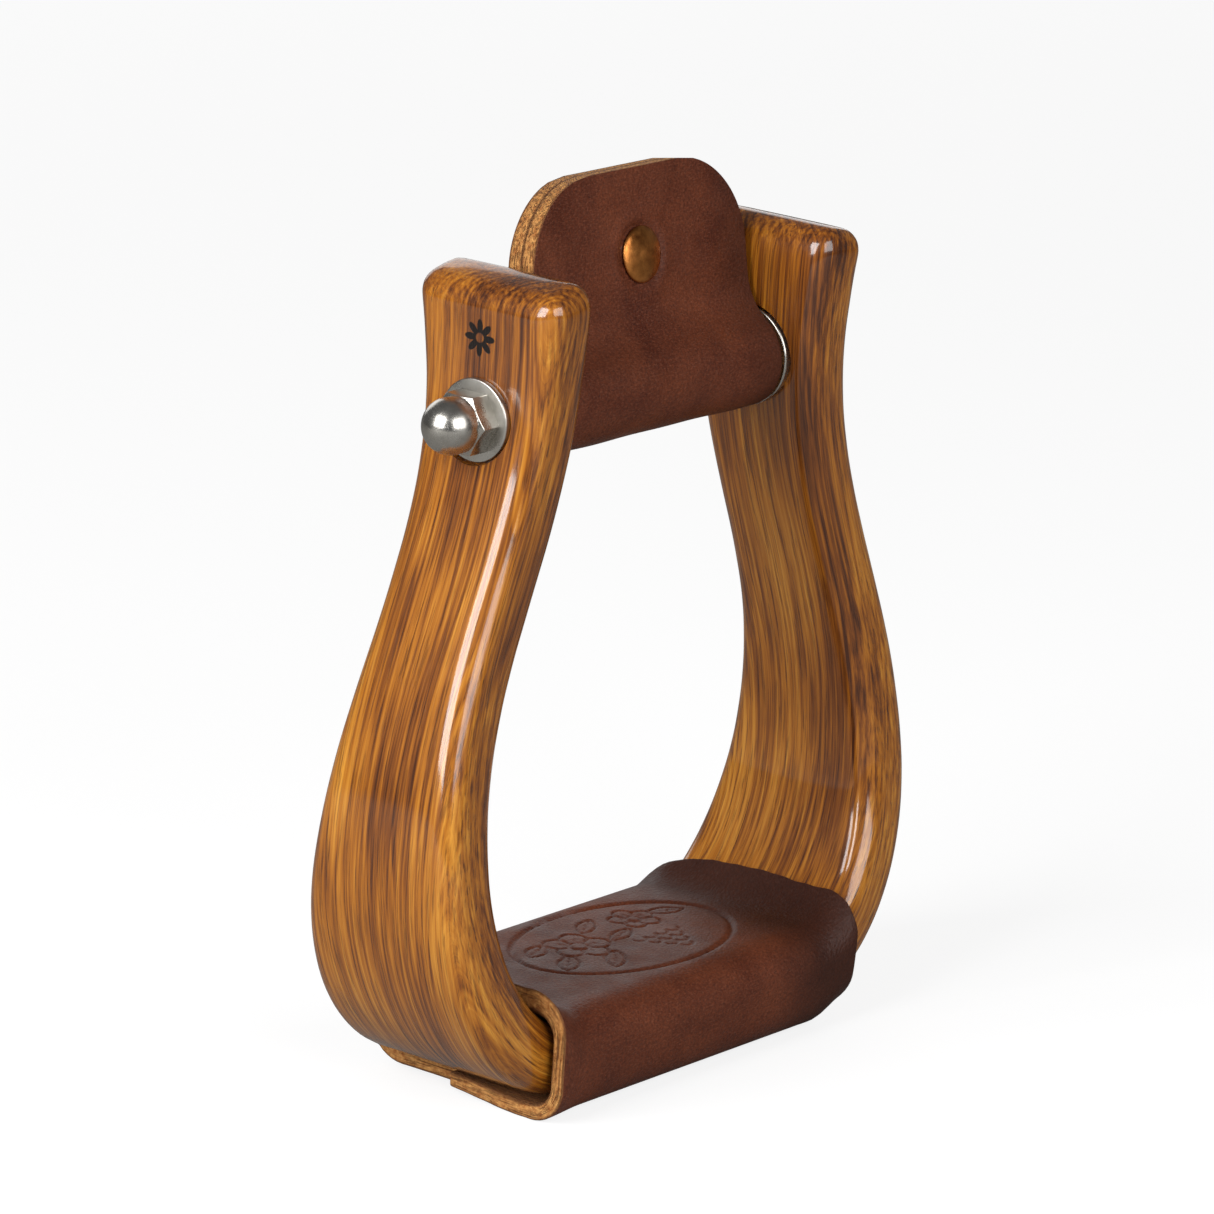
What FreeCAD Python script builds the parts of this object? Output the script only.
# Wooden stirrup with a leather tread, a cross bolt and a leather-covered roll with a standing tab.
# Units are millimetres.  +Z is up, X runs across the stirrup from neck to neck, and -Y is the front.
# The origin is the centre of the tread's underside, where the stirrup stands on a flat surface.
import math
import os

import FreeCAD
import Part
import Sketcher
from FreeCAD import Placement, Rotation, Vector

doc = FreeCAD.newDocument("Stirrup")

# =============================================================================================
# Driving dimensions
# =============================================================================================
SIZES = {
    # the bent wooden band; half widths and heights are those of its outer face
    "frame_height": 205.0,  # outer top edge of the necks above the ground
    "tread_flat_half": 45.0,  # half length of the straight tread
    "widest_half": 91.8,
    "widest_height": 64.3,
    "neck_half": 61.6,  # where the necks are closest together
    "neck_height": 184.2,
    "top_half": 62.9,
    "top_flare": 13.0,  # outward lean of the necks' tops, degrees
    "band_thickness": 18.2,
    "tread_depth": 57.8,  # the band is deepest at the tread
    "waist_depth": 35.2,  # and shallowest at the waist
    "waist_height": 132.3,
    "top_depth": 46.2,
    "edge_radius": 6.3,  # long edges of the band
    "crown_radius": 5.0,  # edges round the necks' tops
    # tread leather
    "leather_thickness": 4.0,
    "leather_clearance": 0.2,  # between the wood and the leather
    "tread_wrap_length": 118.0,
    "seam_gap": 1.0,  # between the leather's two butted ends
    "seam_offset": 4.0,  # the seam's place behind the middle
    # roll and tab leather
    "tab_thickness": 4.0,
    "ply_gap": 0.1,  # between the tab's two plies
    "tab_reach": 53.0,  # top of the tab above the bolt's axis
    "tab_corner_radius": 24.0,
    "tab_bend_radius": 18.0,  # where each ply leaves the roll
    "tab_lean": 9.8,  # backward lean at rest, degrees
    "tab_end_clearance": 1.4,  # between the roll and the inner washers
    "tab_bore_clearance": 0.05,  # radial, between the roll and the tube
    # cross bolt, washers and tube
    "bolt_height": 172.5,
    "bolt_radius": 4.76,
    "bolt_hole_clearance": 0.15,  # radial, in wood, washers and tube
    "thread_clearance": 0.04,  # radial, between the bolt and the nut
    "hex_flats": 14.29,
    "bolt_head_height": 6.0,
    "nut_height": 6.2,  # the hex part
    "dome_start": 8.4,  # a short round collar joins the hex to the dome
    "dome_radius": 7.05,
    "dome_height": 7.0,
    "bolt_end_gap": 2.5,  # inside the nut, beyond the bolt's end
    "dome_wall": 3.2,  # metal between the bore and the dome's tip
    "washer_radius": 10.32,
    "washer_thickness": 1.7,
    "inner_washer_radius": 12.7,
    "inner_washer_thickness": 2.1,
    "spotface_clearance": 0.6,  # radial, round each washer
    "tube_radius": 8.55,
    # rivet through the tab
    "rivet_height": 31.4,  # above the bolt's axis, measured along the tab
    "rivet_cap_radius": 7.2,
    "rivet_cap_height": 1.9,
    "rivet_shank_radius": 2.0,
    "rivet_shank_entry": 1.0,  # how far the shank goes into the front cap
    "rivet_clearance": 0.05,
    # tacks under the tread
    "tack_head_radius": 2.7,
    "tack_head_height": 0.9,
    "tack_head_sink": 0.3,  # head below the leather's face
    "tack_shank_radius": 0.8,
    "tack_length": 12.0,
    "tack_clearance": 0.05,
    "tack_row_offset": 7.5,  # each row's distance from the seam
    "tack_spacing": 22.0,
}
TACKS_PER_ROW = 5

sheet = doc.addObject("Spreadsheet::Sheet", "Sizes")


def add_size(alias, value):
    """Write one plain number to the sheet and give its cell an alias."""
    row = add_size.next_row
    sheet.set(f"A{row}", alias)
    sheet.set(f"B{row}", str(value))
    sheet.setAlias(f"B{row}", alias)
    add_size.next_row += 1


add_size.next_row = 1
for alias, value in SIZES.items():
    add_size(alias, value)
doc.recompute()


def size(alias):
    """Read one size back from the sheet, for shapes made with Part's own functions."""
    return float(sheet.get(alias))


def bind(thing, **expressions):
    """Bind an object's properties to expressions on the sheet."""
    for prop, expression in expressions.items():
        thing.setExpression(prop, expression)


# =============================================================================================
# The band's side profile: three Bezier curves between four stations
# =============================================================================================
ELLIPSE_HANDLE = 0.55  # makes the corner a quarter of an ellipse
SWELL_HANDLE = 0.41  # share of the climb from the widest point to the neck
NECK_HANDLE = 0.37
TOP_HANDLE = 1.0 / 3.0
TREAD_STEPS = 5  # stations along half of the straight tread


def bezier(*poles):
    curve = Part.BezierCurve()
    curve.setPoles([Vector(x, 0, z) for x, z in poles])
    return curve


def outer_curves():
    """The right half of the band's outer face, from the end of the straight tread upwards."""
    wood_bottom = size("leather_thickness") + size("leather_clearance")
    tread_end = (size("tread_flat_half"), wood_bottom)
    widest = (size("widest_half"), size("widest_height"))
    neck = (size("neck_half"), size("neck_height"))
    top = (size("top_half"), size("frame_height"))
    corner_run = widest[0] - tread_end[0]
    corner_rise = widest[1] - tread_end[1]
    climb = neck[1] - widest[1]
    top_run = (top[1] - neck[1]) * TOP_HANDLE
    flare = math.radians(size("top_flare"))
    corner = bezier(
        tread_end,
        (tread_end[0] + ELLIPSE_HANDLE * corner_run, tread_end[1]),
        (widest[0], widest[1] - ELLIPSE_HANDLE * corner_rise),
        widest,
    )
    side = bezier(
        widest,
        (widest[0], widest[1] + SWELL_HANDLE * climb),
        (neck[0], neck[1] - NECK_HANDLE * climb),
        neck,
    )
    crown = bezier(
        neck,
        (neck[0], neck[1] + top_run),
        (top[0] - top_run * math.sin(flare), top[1] - top_run * math.cos(flare)),
        top,
    )
    return corner, side, crown


def band_depth(height):
    """Depth of the band at a height of its outer face: deep tread, narrow waist, flared top."""
    tread, waist, top = size("tread_depth"), size("waist_depth"), size("top_depth")
    waist_height = size("waist_height")
    if height < waist_height:
        share = max(height / waist_height, 0.0)
        return tread - (tread - waist) * share * share * (3.0 - 2.0 * share)
    share = (height - waist_height) / (size("frame_height") - waist_height)
    return waist + (top - waist) * share * share


def stations(steps):
    """Outer points and outward normals up the right half, with the given steps per curve."""
    wood_bottom = size("leather_thickness") + size("leather_clearance")
    spacing = size("tread_flat_half") / TREAD_STEPS
    result = [(Vector(i * spacing, 0, wood_bottom), Vector(0, 0, -1)) for i in range(TREAD_STEPS)]
    for curve, count in zip(outer_curves(), steps):
        for i in range(count):
            result.append(station(curve, i / count))
    result.append(station(outer_curves()[-1], 1.0))
    return result


def station(curve, share):
    tangent = curve.tangent(share)[0]
    return curve.value(share), Vector(tangent.z, 0, -tangent.x)


def face_line(offset):
    """The profile's right half, offset inwards from the outer face, as closely spaced points."""
    return [point - normal * offset for point, normal in stations((60, 60, 20))]


def interpolate(pairs, at):
    """Straight-line interpolation in a list of (x, y) pairs sorted by x."""
    for (x0, y0), (x1, y1) in zip(pairs, pairs[1:]):
        if x0 <= at <= x1:
            return y0 + (y1 - y0) * (at - x0) / (x1 - x0)
    raise ValueError(f"{at} is outside the profile")


def neck_span(offset, radius):
    """Least and greatest X of an offset profile line beside a washer on the bolt's axis."""
    axis = size("bolt_height")
    beside = [p.x for p in face_line(offset) if abs(p.z - axis) <= radius]
    return min(beside), max(beside)


# The washers need flat seats on the curved necks, so their places follow from the profile.
outer_seat = neck_span(0.0, size("washer_radius"))[0]
inner_seat = neck_span(size("band_thickness"), size("inner_washer_radius") / 2.0)[1]
add_size("outer_seat", outer_seat)
add_size("inner_seat", inner_seat)
doc.recompute()


# =============================================================================================
# Shapes shared by the band and its leather
# =============================================================================================
def rounded_section(centre, across, along, width, height, radius):
    """A rounded rectangle: width along the unit vector across, height along the other one."""
    a, b = width / 2.0 - radius, height / 2.0 - radius
    diagonal = radius * math.sqrt(0.5)

    def at(u, v):
        return centre + across * u + along * v

    edges = []
    for su, sv in ((1, 1), (-1, 1), (-1, -1), (1, -1)):
        u, v = su * a, sv * b
        side_point = at(u + su * radius, v)
        end_point = at(u, v + sv * radius)
        middle = at(u + su * diagonal, v + sv * diagonal)
        start, stop = (side_point, end_point) if su * sv > 0 else (end_point, side_point)
        edges.append(Part.Arc(start, middle, stop).toShape())
        if su * sv > 0:
            edges.append(Part.makeLine(stop, at(-u, v + sv * radius)))
        else:
            edges.append(Part.makeLine(stop, at(u + su * radius, -v)))
    return Part.Wire(edges)


def feature(label, shape):
    """Put a shape made with Part's own functions into the document as a named sub-part."""
    thing = doc.addObject("Part::Feature", label)
    thing.Label = label
    thing.Shape = shape
    return thing


# =============================================================================================
# wood_frame: a loft through rounded sections square to the profile.  It is a Part::Feature
# because its sections turn and change size along a curved path, which no single sketch holds.
# =============================================================================================
BAND_STEPS = (12, 10, 4)
CROWN_ANGLES = (30.0, 60.0, 90.0)
DEPTH_WAY = Vector(0, 1, 0)


def band_section(point, normal, depth, inset=0.0):
    """One section of the band; the crown's sections are inset on all sides."""
    thickness = size("band_thickness")
    radius = max(size("edge_radius") - inset, 1.0)
    centre = point - normal * (thickness / 2.0)
    return rounded_section(centre, normal, DEPTH_WAY, thickness - 2 * inset, depth - 2 * inset, radius)


def half_band_sections():
    """Sections up the right half, the last few shrinking to round the neck's top edges."""
    route = stations(BAND_STEPS)
    end_point, end_normal = route.pop()
    sections = [band_section(point, normal, band_depth(point.z)) for point, normal in route[:-1]]
    up = Vector(-end_normal.z, 0, end_normal.x)
    crown = size("crown_radius")
    for angle in (0.0,) + CROWN_ANGLES:
        turn = math.radians(angle)
        point = end_point - up * (crown * (1.0 - math.sin(turn)))
        inset = crown * (1.0 - math.cos(turn))
        sections.append(band_section(point, end_normal, band_depth(end_point.z), inset))
    return sections


def mirrored(wire):
    return wire.mirror(Vector(0, 0, 0), Vector(1, 0, 0))


def along_x(radius, start, stop):
    """A cylinder along X on the bolt's axis."""
    base = Vector(start, 0, size("bolt_height"))
    return Part.makeCylinder(radius, stop - start, base, Vector(1, 0, 0))


right_half = half_band_sections()
left_half = [mirrored(wire) for wire in reversed(right_half[1:])]
band = Part.makeLoft(left_half + right_half, True, False)

neck_reach = size("widest_half")
outer_spot = size("washer_radius") + size("spotface_clearance")
inner_spot = size("inner_washer_radius") + size("spotface_clearance")
hole_radius = size("bolt_radius") + size("bolt_hole_clearance")
cuts = [
    along_x(hole_radius, -neck_reach, neck_reach),
    along_x(inner_spot, -inner_seat, inner_seat),
    along_x(outer_spot, outer_seat, neck_reach),
    along_x(outer_spot, -neck_reach, -outer_seat),
]
wood = band.cut(cuts)


# =============================================================================================
# tread_leather: a sleeve of upright sections round the tread bar, with its butted seam below.
# Its upper side follows the wood; its underside is flat, so the stirrup stands on it.
# =============================================================================================
WRAP_SECTIONS = 25
SHAVE = 0.1


def wrap_section(x, top_offset, depth, bottom, radius):
    """One upright section of the wrap, its top on the profile line at the given offset."""
    line = [(p.x, p.z) for p in face_line(top_offset) if p.z < size("widest_height")]
    top = interpolate(line, abs(x))
    centre = Vector(x, 0, (top + bottom) / 2.0)
    return rounded_section(centre, DEPTH_WAY, Vector(0, 0, 1), depth, top - bottom, radius)


def wrap_solid(thickness, length):
    """The wrap's outside (thickness 0 gives the hollow that the wood lies in)."""
    clear = size("leather_clearance")
    top_offset = size("band_thickness") + clear + thickness
    depth = size("tread_depth") + 2.0 * (clear + thickness)
    bottom = size("leather_thickness") - thickness - (SHAVE if thickness > 0.0 else 0.0)
    radius = size("edge_radius") + clear + thickness
    count = WRAP_SECTIONS - 1
    places = [length * (i / count - 0.5) for i in range(count + 1)]
    return Part.makeLoft([wrap_section(x, top_offset, depth, bottom, radius) for x in places], True)


def tack_places():
    """X and Y of each tack: one row on each side of the seam."""
    for side in (-1, 1):
        for i in range(TACKS_PER_ROW):
            x = (i - (TACKS_PER_ROW - 1) / 2.0) * size("tack_spacing")
            yield x, size("seam_offset") + side * size("tack_row_offset")


def tack(x, y, grow=0.0):
    """One tack pointing up; grow gives the clearance cut for it."""
    head_bottom = size("tack_head_sink") if grow == 0.0 else -1.0
    head_top = size("tack_head_sink") + size("tack_head_height") + grow
    shank = size("tack_shank_radius") + grow
    shank_top = head_top + size("tack_length")
    up = Vector(0, 0, 1)
    head = Part.makeCylinder(size("tack_head_radius") + grow, head_top - head_bottom,
                             Vector(x, y, head_bottom), up)
    body = Part.makeCylinder(shank, shank_top - head_top, Vector(x, y, head_top), up)
    tip = Part.makeCone(shank, shank / 4.0, 2.0 * shank, Vector(x, y, shank_top), up)
    return head.fuse([body, tip])


wrap_length = size("tread_wrap_length")
hollow = wrap_solid(0.0, wrap_length)
outside = wrap_solid(size("leather_thickness"), wrap_length)
# The outside reaches just below the ground, and one level cut makes the underside a true plane.
ground = Part.makeBox(wrap_length + 2.0, 2.0 * size("tread_depth"), 2.0)
ground.translate(Vector(-wrap_length / 2.0 - 1.0, -size("tread_depth"), -2.0))
wrap = outside.cut([hollow, ground])
seam = Part.makeBox(wrap_length + 2.0, size("seam_gap"), 2.0 * size("leather_thickness"))
seam.translate(Vector(-wrap_length / 2.0 - 1.0, size("seam_offset") - size("seam_gap") / 2.0,
                      -size("leather_thickness") / 2.0))
tack_cuts = [tack(x, y, size("tack_clearance")) for x, y in tack_places()]

feature("wood_frame", wood.cut(tack_cuts))
feature("tread_leather", wrap.cut([seam] + tack_cuts))
feature("tread_tacks", Part.makeCompound([tack(x, y) for x, y in tack_places()]))


# =============================================================================================
# Washers and the spacer tube: a ring sketch and a pad for each, along X
# =============================================================================================
def ring_body(label, outer, inner, length, start):
    """A ring from its radii, length and left end, all given as expressions on the sheet."""
    body = doc.addObject("PartDesign::Body", label)
    body.Label = label
    plane = next(f for f in body.Origin.OriginFeatures if f.Role == "YZ_Plane")
    sketch = body.newObject("Sketcher::SketchObject", label + "_sketch")
    sketch.AttachmentSupport = (plane, [""])
    sketch.MapMode = "FlatFace"
    for index, radius in enumerate((outer, inner)):
        sketch.addGeometry(Part.Circle(Vector(0, 0, 0), Vector(0, 0, 1), 10.0 - index))
        sketch.addConstraint(Sketcher.Constraint("Coincident", index, 3, -1, 1))
        number = sketch.addConstraint(Sketcher.Constraint("Radius", index, 10.0 - index))
        sketch.setExpression(f"Constraints[{number}]", radius)
    pad = body.newObject("PartDesign::Pad", label + "_pad")
    pad.Profile = sketch
    bind(pad, Length=length)
    body.setExpression("Placement.Base.x", start)
    body.setExpression("Placement.Base.z", "Sizes.bolt_height")
    return body


BOLT_HOLE = "Sizes.bolt_radius + Sizes.bolt_hole_clearance"
INNER_END = "Sizes.inner_seat - Sizes.inner_washer_thickness"

ring_body("nut_washer", "Sizes.washer_radius", BOLT_HOLE, "Sizes.washer_thickness",
          "-Sizes.outer_seat - Sizes.washer_thickness")
ring_body("bolt_head_washer", "Sizes.washer_radius", BOLT_HOLE, "Sizes.washer_thickness",
          "Sizes.outer_seat")
ring_body("inner_washer_left", "Sizes.inner_washer_radius", BOLT_HOLE,
          "Sizes.inner_washer_thickness", "-Sizes.inner_seat")
ring_body("inner_washer_right", "Sizes.inner_washer_radius", BOLT_HOLE,
          "Sizes.inner_washer_thickness", INNER_END)
ring_body("spacer_tube", "Sizes.tube_radius", BOLT_HOLE, f"2 * ({INNER_END})", f"-({INNER_END})")


# =============================================================================================
# cross_bolt and acorn_nut: primitives and booleans, each made along +Z and then laid along X
# =============================================================================================
CHAMFER_TOP = "Sizes.hex_flats * 0.475"
CHAMFER_SLOPE = "1.732"


def primitive(kind, name, height=None, **expressions):
    """A Part primitive with its sizes bound to the sheet, raised to a bound height."""
    thing = doc.addObject(kind, name)
    bind(thing, **expressions)
    if height is not None:
        thing.setExpression("Placement.Base.z", height)
    return thing


def boolean(kind, name, base, tool):
    thing = doc.addObject(kind, name)
    thing.Base = base
    thing.Tool = tool
    return thing


def chamfered_hex(name, height):
    """A hexagon whose outer corners are turned off by a cone of 30 degrees."""
    hexagon = primitive("Part::Prism", name + "_hex", Circumradius="Sizes.hex_flats / sqrt(3)",
                        Height=height)
    hexagon.Polygon = 6
    cone = primitive("Part::Cone", name + "_chamfer", Radius2=CHAMFER_TOP, Height=height,
                     Radius1=f"{CHAMFER_TOP} + {CHAMFER_SLOPE} * {height}")
    return boolean("Part::Common", name + "_head", hexagon, cone)


def lay_along_x(thing, label, direction, start):
    """Name a finished piece and turn its +Z to point along X, two corners level, seat at start."""
    thing.Label = label
    corners_level = Rotation(Vector(0, 0, 1), 90.0)
    turned = Rotation(Vector(0, 1, 0), 90.0 * direction).multiply(corners_level)
    thing.Placement = Placement(Vector(), turned)
    thing.setExpression("Placement.Base.x", start)
    thing.setExpression("Placement.Base.z", "Sizes.bolt_height")


CLAMPED = "(2 * Sizes.outer_seat + 2 * Sizes.washer_thickness)"
BORE_DEPTH = "(Sizes.dome_start + Sizes.dome_height - Sizes.dome_wall)"
NUT_INSIDE = f"({BORE_DEPTH} - Sizes.bolt_end_gap)"

bolt_head = chamfered_hex("bolt", "Sizes.bolt_head_height")
bolt_shank = primitive("Part::Cylinder", "bolt_shank", height=f"-({CLAMPED} + {NUT_INSIDE})",
                       Radius="Sizes.bolt_radius", Height=f"{CLAMPED} + {NUT_INSIDE}")
bolt = boolean("Part::Fuse", "cross_bolt", bolt_head, bolt_shank)
lay_along_x(bolt, "cross_bolt", 1, "Sizes.outer_seat + Sizes.washer_thickness")

nut_hex = chamfered_hex("nut", "Sizes.nut_height")
nut_collar = primitive("Part::Cylinder", "nut_collar", Radius="Sizes.dome_radius",
                       Height="Sizes.dome_start")
nut_dome = primitive("Part::Ellipsoid", "nut_dome", height="Sizes.dome_start",
                     Radius1="Sizes.dome_height", Radius2="Sizes.dome_radius")
nut_dome.Angle1 = 0
nut_crown = boolean("Part::Fuse", "nut_crown", nut_collar, nut_dome)
nut_solid = boolean("Part::Fuse", "nut_solid", nut_hex, nut_crown)
nut_bore = primitive("Part::Cylinder", "nut_bore", Height=BORE_DEPTH,
                     Radius="Sizes.bolt_radius + Sizes.thread_clearance")
nut = boolean("Part::Cut", "acorn_nut", nut_solid, nut_bore)
lay_along_x(nut, "acorn_nut", -1, "-(Sizes.outer_seat + Sizes.washer_thickness)")


# =============================================================================================
# tab_leather: one strip folded round the tube.  It is a Part::Feature because its section is a
# strip along a path of lines and tangent arcs, worked out here from the roll and the bend.
# The tab's own frame has its origin on the bolt's axis and +Z up along the tab.
# =============================================================================================
tab_place = Placement(Vector(0, 0, size("bolt_height")), Rotation(Vector(1, 0, 0), -size("tab_lean")))
tab_half_width = inner_seat - size("inner_washer_thickness") - size("tab_end_clearance")
ply_middle = (size("ply_gap") + size("tab_thickness")) / 2.0
roll_middle = size("tube_radius") + size("tab_bore_clearance") + size("tab_thickness") / 2.0
bend_middle = size("tab_bend_radius") + size("tab_thickness") / 2.0
bend_centre_y = ply_middle + bend_middle
bend_centre_z = math.sqrt((bend_middle + roll_middle) ** 2 - bend_centre_y ** 2)


def strip_side(offset):
    """One face of the folded strip as edges: ply, bend, roll, bend, ply."""
    roll_radius = roll_middle + offset
    bend_radius = bend_middle - offset
    ply_y = ply_middle + offset
    meet_turn = math.atan2(bend_centre_z, bend_centre_y)
    edges = []
    joints = {}
    for side in (-1, 1):
        centre = Vector(0, side * bend_centre_y, bend_centre_z)
        top = Vector(0, side * ply_y, size("tab_reach"))
        bend_start = Vector(0, side * ply_y, bend_centre_z)
        meet = Vector(0, side * roll_radius * math.cos(meet_turn), roll_radius * math.sin(meet_turn))
        half_turn = meet_turn / 2.0
        middle = centre + Vector(0, -side * bend_radius * math.cos(half_turn),
                                 -bend_radius * math.sin(half_turn))
        edges.append(Part.makeLine(top, bend_start))
        edges.append(Part.Arc(bend_start, middle, meet).toShape())
        joints[side] = (top, meet)
    bottom = Vector(0, 0, -roll_radius)
    edges.append(Part.Arc(joints[-1][1], bottom, joints[1][1]).toShape())
    return edges, joints[-1][0], joints[1][0]


outside, outside_front, outside_rear = strip_side(size("tab_thickness") / 2.0)
inside, inside_front, inside_rear = strip_side(-size("tab_thickness") / 2.0)
ends = [Part.makeLine(outside_front, inside_front), Part.makeLine(outside_rear, inside_rear)]
strip_wire = Part.Wire(Part.__sortEdges__(outside + inside + ends))
strip = Part.Face(strip_wire).extrude(Vector(2.0 * tab_half_width, 0, 0))
strip.translate(Vector(-tab_half_width, 0, 0))

roll_radius = roll_middle + size("tab_thickness") / 2.0
corner = size("tab_corner_radius")
outline_height = size("tab_reach") + roll_radius + corner
outline = rounded_section(
    Vector(0, -2.0 * roll_radius, size("tab_reach") - outline_height / 2.0),
    Vector(1, 0, 0), Vector(0, 0, 1), 2.0 * tab_half_width, outline_height, corner)
outline_block = Part.Face(outline).extrude(Vector(0, 4.0 * roll_radius, 0))

rivet_depth = size("tab_thickness") + size("ply_gap") / 2.0
shank_hole = Part.makeCylinder(size("rivet_shank_radius") + size("rivet_clearance"),
                               4.0 * roll_radius, Vector(0, -2.0 * roll_radius, size("rivet_height")),
                               Vector(0, 1, 0))
tab = feature("tab_leather", strip.common(outline_block).cut(shank_hole))
tab.Placement = tab_place

# =============================================================================================
# The rivet: a domed cap in front, and a rear cap with the shank that enters it
# =============================================================================================
RIVET_DEPTH = "(Sizes.tab_thickness + Sizes.ply_gap / 2)"


def rivet_dome(name):
    dome = primitive("Part::Ellipsoid", name, height=RIVET_DEPTH,
                     Radius1="Sizes.rivet_cap_height", Radius2="Sizes.rivet_cap_radius")
    dome.Angle1 = 0
    return dome


def lay_on_tab(thing, label, direction):
    """Name a rivet half and turn its +Z along -Y (front) or +Y (rear) of the leaning tab."""
    thing.Label = label
    local = Placement(Vector(0, 0, size("rivet_height")), Rotation(Vector(1, 0, 0), 90.0 * direction))
    thing.Placement = tab_place.multiply(local)


cap_socket = primitive("Part::Cylinder", "cap_socket",
                       Radius="Sizes.rivet_shank_radius + Sizes.rivet_clearance",
                       Height=f"{RIVET_DEPTH} + Sizes.rivet_shank_entry + Sizes.rivet_clearance")
cap = boolean("Part::Cut", "rivet_cap", rivet_dome("front_dome"), cap_socket)
lay_on_tab(cap, "rivet_cap", 1)

rivet_shank = primitive("Part::Cylinder", "rivet_shank",
                        height=f"-({RIVET_DEPTH} + Sizes.rivet_shank_entry)",
                        Radius="Sizes.rivet_shank_radius",
                        Height=f"2 * {RIVET_DEPTH} + Sizes.rivet_shank_entry + Sizes.rivet_clearance")
post = boolean("Part::Fuse", "rivet_post", rivet_dome("rear_dome"), rivet_shank)
lay_on_tab(post, "rivet_post", -1)

# =============================================================================================
# Check every object and write each sub-part
# =============================================================================================
NODES = (
    "wood_frame", "tread_leather", "tread_tacks", "cross_bolt", "bolt_head_washer", "nut_washer",
    "acorn_nut", "spacer_tube", "inner_washer_left", "inner_washer_right", "tab_leather",
    "rivet_cap", "rivet_post",
)

doc.recompute()
for thing in doc.Objects:
    if "Invalid" in thing.State or "Error" in thing.State:
        raise RuntimeError(f"{thing.Label} failed to compute: {thing.State}")

os.makedirs("parts", exist_ok=True)
for node in NODES:
    shape = doc.getObjectsByLabel(node)[0].Shape
    if shape.isNull() or not shape.isValid() or not shape.Solids:
        raise RuntimeError(f"{node} has no valid solid")
    shape.exportStep(f"parts/{node}.step")
    print(node, "solids", len(shape.Solids), "volume", round(shape.Volume, 1))
